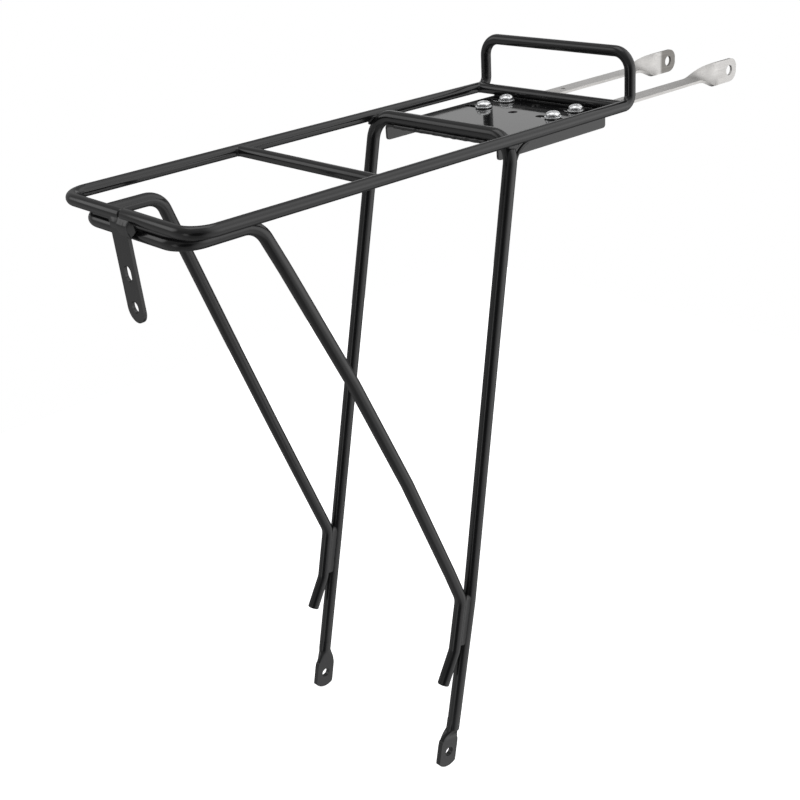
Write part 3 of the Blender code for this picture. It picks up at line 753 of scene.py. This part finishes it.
def strut_weld(side, seed):
    """Fill in the groove between a strut's foot and its leg, on the outer and the inner side."""
    upper, lower = STRUT_FOOT_Z + 0.0012, STRUT_WELD_END_Z + 0.0010
    taper = 0.0034
    meshes = []
    for face in (1, -1):
        sections = []
        for k in range(49):
            z = upper + (lower - upper) * k / 48
            edge = min(upper - z, z - lower)
            swell = rounded_end(edge, taper)
            reach = radians(16 + 46 * swell) * (1 + 0.05 * wobble(Vector((0, face, z)), seed, 350.0))
            y = LEG_KNEE.y + (LEG_FOOT.y - LEG_KNEE.y) * (z - LEG_KNEE.z) / (LEG_FOOT.z - LEG_KNEE.z)
            leg = Vector((leg_x(z), y, z))
            strut = leg - Vector((LEG_RADIUS + STRUT_RADIUS + GAP, 0.0, 0.0))
            bury = 0.00010
            start = leg + Vector((-cos(reach), face * sin(reach), 0.0)) * (LEG_RADIUS - bury)
            end = strut + Vector((cos(reach), face * sin(reach), 0.0)) * (STRUT_RADIUS - bury)
            contact = (leg + strut) / 2
            middle = (start + end) / 2
            ripple = 0.00007 * sin(z / 0.0011 * 2 * pi)
            control = middle + (contact - middle) * 0.22 + Vector((0.0, face * ripple, 0.0))
            section = [*bezier(start, control, end, 8), contact - Vector((0.0, face * 0.0004, 0.0))]
            sections.append([Vector((p.x, side * p.y, p.z)) for p in section])
        meshes.append(finished_mesh("strut_weld", loft(sections), 60))
    return joined("strut_weld", meshes, 60)


def bead(points, radius, seed, pitch=0.0012, flat=0.12):
    """A weld run: a rod whose radius swells at every drop, tapered at both ends."""
    fine = []
    for first, second in zip(points, points[1:]):
        count = max(2, int((second - first).length / BEAD_STEP))
        fine += [first.lerp(second, k / count) for k in range(count)]
    fine.append(points[-1])
    total = len(fine) - 1
    radii, path = [], []
    for k, point in enumerate(fine):
        along = BEAD_STEP * k
        end = rounded_end((min(k, total - k) + 0.6) * BEAD_STEP, 1.6 * radius)
        drop = 0.5 + 0.5 * cos(2 * pi * along / pitch)
        swell = flat * drop + 0.16 * wobble(point, seed, 260.0)
        radii.append(radius * end * (1 + swell))
        sideways = Vector((wobble(point, seed + 3, 200.0), 0.0, wobble(point, seed + 5, 200.0)))
        path.append(point + sideways * radius * 0.18)
    return finished_mesh("bead", loft(tube_sections(path, radii, 16)), 60)


def nugget(centre, size, turn, seed):
    """A rounded lump of weld metal."""
    shape = bmesh.new()
    bmesh.ops.create_icosphere(shape, subdivisions=4, radius=1.0)
    for vertex in shape.verts:
        place = vertex.co.copy()
        coarse = noise.noise(place * 1.6 + Vector((seed, 0, seed)))
        grow = 1 + 0.10 * coarse + 0.04 * noise.noise(place * 4.0)
        vertex.co = Vector(a * b for a, b in zip(place * grow, size))
    place = Matrix.Translation(centre) @ turn
    bmesh.ops.transform(shape, matrix=place, verts=shape.verts)
    return finished_mesh("nugget", shape, 60)


def leg_top_weld(side, seed):
    """Metal between a leg's upper bend and the platform side that rests on it."""
    turn = Matrix.Rotation(radians(-50) * side, 4, "X")
    contact = Vector((LEG_BAR_X - 0.0009, side * LEG_TOP_Y, -0.0026))
    core = nugget(contact, (0.0056, 0.0042, 0.0016), turn, seed)
    foot_z = -0.0135
    foot = Vector((leg_x(foot_z) + 0.0027, side * 0.0622, foot_z))
    corner = Vector((LEG_BAR_X + 0.0032, side * 0.0622, -0.0050))
    ahead = Vector((LEG_BAR_X + 0.0115, side * 0.0630, -0.0036))
    fillet = bead(list(bezier(foot, corner, ahead, 12)), 0.0011, seed, pitch=0.0060, flat=0.04)
    return joined("leg_top_weld", [core, fillet], 60)


def smoothed_line(points, pieces=5, passes=3):
    """The points with more between them, and the corners eased."""
    line = []
    for first, second in zip(points, points[1:]):
        line += [first.lerp(second, k / pieces) for k in range(pieces)]
    line.append(points[-1])
    for _ in range(passes):
        middle = [(a + 2 * b + c) / 4 for a, b, c in zip(line, line[1:], line[2:])]
        line = [line[0], *middle, line[-1]]
    return line


def bracket_weld(seed):
    """Metal from the bracket's top to the rear rod and the lower loop, with a ledge under the rear rod."""
    ledge = ((-0.0032, 0.0001), (-0.0043, -0.0017), (-0.0054, -0.0034), (-0.00525, -0.0060),
             (-0.0039, -0.0094))
    filling = ((-0.0031, -0.0014), (-0.0032, -0.0028), (-0.0026, -0.0046), (-0.0017, -0.0064),
               (-0.0005, -0.0079))
    core = Vector((-0.0004, 0.0, -0.0044))
    back = (Vector((0.0006, 0.0, -0.0070)), Vector((0.0006, 0.0, -0.0016)))
    left, right, steps = 0.0112, -0.0116, 90
    sections = []
    for k in range(steps + 1):
        y = left + (right - left) * k / steps
        left_share = smooth_rise(0.0092, 0.0068, y) * (0.72 + 0.28 * smooth_rise(0.0010, -0.0006, y))
        share = min(left_share, smooth_rise(-0.0114, -0.0102, y))
        edge = min(left - y, y - right)
        closing = 0.30 + 0.70 * rounded_end(edge, 0.0016)
        ridge = 0.00045 * exp(-((edge - 0.0010) / 0.0006) ** 2)
        corners = []
        for (x, z), (filled_x, filled_z) in zip(ledge, filling):
            corners.append(Vector((filled_x, 0.0, filled_z)).lerp(Vector((x, 0.0, z)), share))
        section = []
        for j, point in enumerate(smoothed_line(corners)):
            outward = (point - core).normalized()
            rough = 0.0002 * wobble(Vector((point.x, y, point.z)), seed, 330.0)
            section.append(point + outward * (rough + ridge) * sin(pi * j / 20))
        closed = [core + (point - core) * closing for point in (*section, *back)]
        sections.append([Vector((point.x, y, point.z)) for point in closed])
    return finished_mesh("bracket_weld", loft(sections), 50)


def make_welds():
    runs = {}
    for name, x, seed in (("mid", MID_CROSS_X, 1.0), ("front", FRONT_CROSS_X, 3.0)):
        runs[f"{name}_cross_weld_left"] = tee_weld(x, 1, seed)
        runs[f"{name}_cross_weld_right"] = tee_weld(x, -1, seed + 1)
    for name, weld, seed in (("strut", strut_weld, 5.0), ("leg_top", leg_top_weld, 7.0)):
        runs[f"left_{name}_weld"] = weld(1, seed)
        runs[f"right_{name}_weld"] = weld(-1, seed + 1)
    under_bar = [Vector((PLATE_REAR_X - 0.0005, y, PLATE_TOP_Z - 0.0004)) for y in (0.0415, 0.0, -0.0415)]
    runs["plate_rear_weld"] = bead(under_bar, 0.0014, 9.0, pitch=0.0093, flat=0.12)
    at_front = [Vector((PLATE_FRONT_X + 0.0002, y, PLATE_TOP_Z + 0.0002)) for y in (0.0475, 0.0, -0.0475)]
    runs["plate_front_weld"] = bead(at_front, 0.0008, 10.0)
    runs["bracket_weld"] = bracket_weld(11.0)
    for name, mesh in runs.items():
        add_piece(name, mesh, "frame", "weld_paint")


# ---- stays and their fastenings ----
def stay_half_width(x):
    """Half width of a stay at x from its rear end: round tail, straight run, wider head with a round end."""
    tail = max(0.0, 1.0 - x / STAY_HALF_WIDTH)
    widening = smooth_rise(TWIST_START, TWIST_END, x)
    half = STAY_HALF_WIDTH + widening * (STAY_HEAD_HALF_WIDTH - STAY_HALF_WIDTH)
    nose = max(0.0, 1.0 - (STAY_LENGTH - x) / STAY_HEAD_HALF_WIDTH)
    tail_share = sqrt(1.0 - TAIL_CLOSING * tail ** 2)
    nose_share = sqrt(1.0 - NOSE_CLOSING * nose ** NOSE_SQUARENESS)
    return half * tail_share * nose_share


def stay_twist(x):
    """Angle of a stay's section at x, with a short ease at both ends of an even twist."""
    share = min(1.0, max(0.0, (x - TWIST_START) / (TWIST_END - TWIST_START)))
    ease = 0.22
    if share < ease:
        share = share ** 2 / (2 * ease * (1 - ease))
    elif share > 1 - ease:
        share = 1 - (1 - share) ** 2 / (2 * ease * (1 - ease))
    else:
        share = (share - ease / 2) / (1 - ease)
    return pi / 2 * share


def stay_stations():
    """Places along a stay where its surface needs a row of points."""
    tail = [STAY_HALF_WIDTH * (1 - cos(pi / 2 * step / 14)) for step in range(15)]
    straight = [tail[-1] + (TWIST_START - tail[-1]) * step / 8 for step in range(1, 8)]
    twist = [TWIST_START + (TWIST_END - TWIST_START) * step / 40 for step in range(41)]
    nose_start = STAY_LENGTH - STAY_HEAD_HALF_WIDTH
    nose = [nose_start + STAY_HEAD_HALF_WIDTH * sin(pi / 2 * step / 16) for step in range(17)]
    return tail + straight + twist + nose


def stay_surface():
    """Middle surface of a stay from rear to front, twisted a quarter turn near its front end."""
    shape = bmesh.new()
    stations = stay_stations()
    rows = 9
    bmesh.ops.create_grid(shape, x_segments=len(stations) - 1, y_segments=rows, size=1.0)
    for vertex in shape.verts:
        row = round((vertex.co.x + 1) / 2 * (len(stations) - 1))
        x = stations[row]
        offset = vertex.co.y * stay_half_width(x)
        angle = stay_twist(x)
        vertex.co = (x - STAY_REAR_BACK, offset * cos(angle), offset * sin(angle))
    return finished_mesh("stay", shape)


def make_stay(side, screw_y, push):
    height = 3 * STAY_THICKNESS
    slot = flat_mesh([slot_outline((0.0, 0.0), STAY_SLOT_HALF, SLOT_RADIUS, along_y=False)], height)
    spare_place = (STAY_FRONT_AHEAD - STAY_SPARE_HOLE_BACK, 0.0)
    spare = flat_mesh([circle_outline(STAY_SPARE_HOLE_RADIUS, 28, spare_place)], height)
    eye_place = Matrix.Translation((STAY_FRONT_AHEAD - STAY_EYE_BACK, 0.0, 0.0)) @ UPRIGHT
    eye = flat_mesh([circle_outline(STAY_EYE_RADIUS, 48)], height, eye_place)
    solid = evaluated_mesh(stay_surface(), (slot, spare, eye), thickness=STAY_THICKNESS)
    name = f"{side}_stay_strip"
    mesh = softened(name, solid, STAY_RIM, segments=2)
    mesh.transform(Matrix.Translation((SCREW_MIDDLE_X + push, screw_y, STAY_MIDDLE_Z)))
    # The left stay gets the finish with the painted shade at its front end.
    finish = "dull_ended_steel" if side == "left" else "stay_steel"
    add_piece(name, mesh, f"{side}_strip", finish, f"{side}_stay")


def washer_mesh(place):
    outer, inner, half = WASHER_RADIUS, SCREW_RADIUS + GAP, WASHER_THICKNESS / 2
    rim = 0.00022
    profile = [(inner + rim, half), (outer - rim, half)]
    profile += [(outer - rim + rim * sin(a), half - rim + rim * cos(a)) for a in (0.5, 1.0, 1.5)]
    profile += [(outer, 0.0)]
    profile += [(outer - rim + rim * cos(a), rim - half - rim * sin(a)) for a in (0.1, 0.6, 1.1)]
    profile += [(outer - rim, -half), (inner + rim, -half), (inner, rim - half), (inner, half - rim)]
    return turned_mesh(profile, Matrix.Translation(place))


def threaded_shaft(length, start, segments=28, rows=8):
    """The screw's shank from its head down, plain to start and then threaded to a chamfered point."""
    heights = [0.0, -start]
    count = int((length - start) / THREAD_PITCH * rows)
    heights += [-start - (length - start) * k / count for k in range(1, count + 1)]
    sections = []
    for height in heights:
        point = min(1.0, (length + height) / 0.0006)
        fade = min(1.0, max(0.0, (-height - start) / THREAD_PITCH))
        ring = []
        for k in range(segments):
            phase = (height / THREAD_PITCH + k / segments) % 1.0
            groove = THREAD_DEPTH * fade * (1 - abs(2 * phase - 1)) ** 0.8
            radius = (SCREW_RADIUS - groove) * (0.80 + 0.20 * point)
            angle = 2 * pi * k / segments
            ring.append(Vector((radius * cos(angle), radius * sin(angle), height)))
        sections.append(ring)
    return finished_mesh("shaft", loft(sections), 40)


def screw_head(turn):
    """Pan head with a cross recess whose wings slope in."""
    dome = []
    for step in range(17):
        angle = pi / 2 * step / 16
        dome.append((HEAD_RADIUS * sin(angle), HEAD_HEIGHT * (0.28 + 0.72 * cos(angle))))
    profile = [*dome, (HEAD_RADIUS, 0.00012), (HEAD_RADIUS - 0.00012, 0.0), (0.0, 0.0)]
    head = turned_mesh(profile, segments=64)
    wings = []
    for quarter in (0, 1):
        reach, half = 0.0026, 0.00058
        top = [(reach, half), (-reach, half), (-reach, -half), (reach, -half)]
        low = [(a * 0.52, b * 0.62) for a, b in top]
        sections = [[Vector((a, b, HEAD_HEIGHT + 0.0003)) for a, b in top],
                    [Vector((a, b, HEAD_HEIGHT - 0.0019)) for a, b in low]]
        wing = finished_mesh("wing", loft(sections))
        wing.transform(Matrix.Rotation(turn + quarter * pi / 2, 4, "Z"))
        wings.append(wing)
    above, below = HEAD_HEIGHT + 0.0002, HEAD_HEIGHT - 0.0019
    middle = [(0.0, above), (0.0011, above), (0.0007, below), (0.0, below - 0.0004)]
    wings.append(turned_mesh(middle, segments=24))
    return softened("head", evaluated_mesh(head, wings), 0.00010, angle=42, segments=2, sharp=28)


def screw_mesh(place, length, turn):
    mesh = joined("screw", [screw_head(turn), threaded_shaft(length, 0.0022)], 30)
    mesh.transform(Matrix.Translation(place))
    return mesh


def nut_mesh(place, turn):
    """Hexagon nut whose corners are turned down at both faces, with a chamfered thread."""
    corner = NUT_FLATS / sqrt(3)
    bore = SCREW_RADIUS - THREAD_DEPTH * 0.5
    down = Matrix.Translation((0.0, 0.0, -NUT_HEIGHT / 2))
    block = flat_mesh([circle_outline(corner, 6)], NUT_HEIGHT, down)
    face, wide, drop = NUT_FLATS / 2 * 0.96, corner + 0.0001, 0.00042
    outside = turned_mesh([(0.0, 0.0), (face, 0.0), (wide, -drop), (wide, drop - NUT_HEIGHT),
                           (face, -NUT_HEIGHT), (0.0, -NUT_HEIGHT)], segments=64)
    rounded = evaluated_mesh(block, [outside], "INTERSECT")
    mouth = SCREW_RADIUS + 0.0002
    hole = turned_mesh([(0.0, 0.0001), (mouth, 0.0001), (bore, -0.0005), (bore, 0.0005 - NUT_HEIGHT),
                        (mouth, -0.0001 - NUT_HEIGHT), (0.0, -0.0001 - NUT_HEIGHT)], segments=40)
    mesh = softened("nut", evaluated_mesh(rounded, [hole]), 0.00012, angle=25, segments=2, sharp=28)
    mesh.transform(Matrix.Translation(place) @ Matrix.Rotation(turn, 4, "Z"))
    return mesh


def make_fastening(prefix, x, y, bodies, turn):
    """Screw and washer on the plate, washer and nut under the stay."""
    top_washer_z = PLATE_TOP_Z + GAP + WASHER_THICKNESS / 2
    head_z = PLATE_TOP_Z + WASHER_THICKNESS + 2 * GAP
    low_washer_z = STAY_TOP_Z - STAY_THICKNESS - GAP - WASHER_THICKNESS / 2
    nut_z = low_washer_z - WASHER_THICKNESS / 2 - GAP
    length = head_z - nut_z + NUT_HEIGHT + SCREW_PROTRUSION
    washer_body, screw_body = bodies
    pieces = (
        ("top_washer", "upper_washer", washer_mesh(Vector((x, y, top_washer_z))), washer_body),
        ("bottom_washer", "lower_washer", washer_mesh(Vector((x, y, low_washer_z))), washer_body),
        ("screw", "cross_screw", screw_mesh(Vector((x, y, head_z)), length, turn), screw_body),
        ("nut", "hexagon_nut", nut_mesh(Vector((x, y, nut_z)), 0.7 * turn), screw_body),
    )
    for node, name, mesh, body in pieces:
        add_piece(f"{prefix}_{name}", mesh, body, "zinc", f"{prefix}_{node}")


# ---- studio ----
FLOOR_HALF_SIZE, FLOOR_GLOW = 0.62, 0.95


def make_floor():
    """A pale floor as wide as the object needs."""
    shape = bmesh.new()
    bmesh.ops.create_grid(shape, x_segments=1, y_segments=1, size=FLOOR_HALF_SIZE)
    mesh = finished_mesh("floor", shape)
    glow = {"Emission Color": (1.0, 1.0, 1.0, 1.0), "Emission Strength": FLOOR_GLOW}
    mesh.materials.append(new_finish("floor", (0.55, 0.55, 0.55), Roughness=0.7, **glow))
    floor = add_object("floor", mesh)
    floor.location = (0.05, 0.05, -0.0002)
    floor.visible_glossy = False


ROOM_BASE = 0.38
CARD_RADIANCE, CARD_SIZE = 0.49, (0.40, 0.26)


def direction(azimuth, elevation):
    a, e = radians(azimuth), radians(elevation)
    return Vector((cos(a) * cos(e), sin(a) * cos(e), sin(e)))


# The room's lobes of light: towards, inner and outer half angle in degrees, change in brightness.
ROOM_LOBES = (
    (direction(-45, 27), 22, 62, 1.25),
    (direction(-60, -30), 20, 55, 0.75),
    (direction(127, 24), 9, 22, 1.40),
    (direction(-174, -4), 5, 12, 1.00),
    (direction(-172, -20), 5, 12, 0.60),
    (direction(150, -25), 12, 40, 0.20),
    (direction(-137, -8), 10, 32, -0.36),
    (direction(45, -35), 20, 55, -0.26),
    (direction(0, 88), 25, 60, 0.30),
)


def make_world():
    """White to look at; for light and reflections a soft grey room with brighter and darker sides."""
    world = bpy.data.worlds.new("studio")
    bpy.context.scene.world = world
    world.use_nodes = True
    nodes, links = world.node_tree.nodes, world.node_tree.links
    nodes.clear()
    place = nodes.new("ShaderNodeTexCoord")
    total = None
    for towards, inner, outer, change in ROOM_LOBES:
        dot = nodes.new("ShaderNodeVectorMath")
        dot.operation = "DOT_PRODUCT"
        dot.inputs[1].default_value = towards
        links.new(place.outputs["Generated"], dot.inputs[0])
        start, end = cos(radians(outer)), cos(radians(inner))
        lobe = spread(world, dot.outputs["Value"], 0.0, change, start, end)
        add = nodes.new("ShaderNodeMath")
        add.operation = "ADD"
        add.inputs[1].default_value = ROOM_BASE
        links.new(lobe, add.inputs[0])
        if total is not None:
            links.new(total, add.inputs[1])
        total = add.outputs["Value"]
    room = nodes.new("ShaderNodeBackground")
    links.new(total, room.inputs["Strength"])
    backdrop = nodes.new("ShaderNodeBackground")
    backdrop.inputs["Color"].default_value = (1.0, 1.0, 1.0, 1.0)
    path = nodes.new("ShaderNodeLightPath")
    mix = nodes.new("ShaderNodeMixShader")
    links.new(path.outputs["Is Camera Ray"], mix.inputs["Fac"])
    links.new(room.outputs["Background"], mix.inputs[1])
    links.new(backdrop.outputs["Background"], mix.inputs[2])
    output = nodes.new("ShaderNodeOutputWorld")
    links.new(mix.outputs["Shader"], output.inputs["Surface"])


def make_lights():
    """A card the plate mirrors towards the camera, and a soft box overhead."""
    card_power = CARD_RADIANCE * pi * CARD_SIZE[0] * CARD_SIZE[1]
    specs = (
        ("plate_card", Vector((0.277, 0.0, 0.0)), direction(43.8, 12.8) * 0.55, CARD_SIZE, card_power),
        ("overhead", Vector((0.0, 0.0, -0.15)), direction(60, 78) * 1.5, (0.9, 0.9), 3.0),
    )
    for name, aim, offset, size, power in specs:
        data = bpy.data.lights.new(name, "AREA")
        data.shape = "RECTANGLE"
        data.size, data.size_y = size
        data.energy = power
        light = add_object(name, data)
        light.location = aim + offset + SHIFT
        light.rotation_mode = "QUATERNION"
        light.rotation_quaternion = (-offset).to_track_quat("-Z", "Y")
        light.visible_camera = False


def make_camera():
    back = Vector((-sin(CAMERA_AZIMUTH) * cos(CAMERA_ELEVATION),
                   -cos(CAMERA_AZIMUTH) * cos(CAMERA_ELEVATION), sin(CAMERA_ELEVATION)))
    level_right = (-back).cross(Vector((0.0, 0.0, 1.0))).normalized()
    level_up = back.cross(level_right)
    right = level_right * cos(CAMERA_ROLL) - level_up * sin(CAMERA_ROLL)
    up = level_right * sin(CAMERA_ROLL) + level_up * cos(CAMERA_ROLL)
    data = bpy.data.cameras.new("camera")
    data.lens = CAMERA_LENS
    data.sensor_width = 36.0
    data.clip_start = 0.01
    camera = add_object("camera", data)
    turn = Matrix((right, up, back)).transposed().to_4x4()
    camera.matrix_world = Matrix.Translation(CAMERA_PLACE + SHIFT) @ turn
    bpy.context.scene.camera = camera


make_platform_rail()
make_cross_rod("mid_cross_bar", "mid_cross_rod", MID_CROSS_X)
make_cross_rod("front_cross_bar", "front_cross_rod", FRONT_CROSS_X)
make_leg_rod()
make_strut_rod()
make_stay_plate()
make_bracket()
make_welds()
for stay_side, (stay_y, stay_push) in STAY_SIDES.items():
    make_stay(stay_side, stay_y, stay_push)
    front_bodies = (f"{stay_side}_clamp", f"{stay_side}_pivot")
    rear_bodies = (f"{stay_side}_rear_clamp", f"{stay_side}_rear_clamp")
    make_fastening(f"{stay_side}_front", FRONT_SCREW_X, stay_y, front_bodies, 0.5 + 20 * stay_y)
    make_fastening(f"{stay_side}_rear", REAR_SCREW_X, stay_y, rear_bodies, 1.1 + 30 * stay_y)
make_floor()
make_world()
make_lights()
make_camera()
bpy.context.scene.view_settings.view_transform = "Standard"
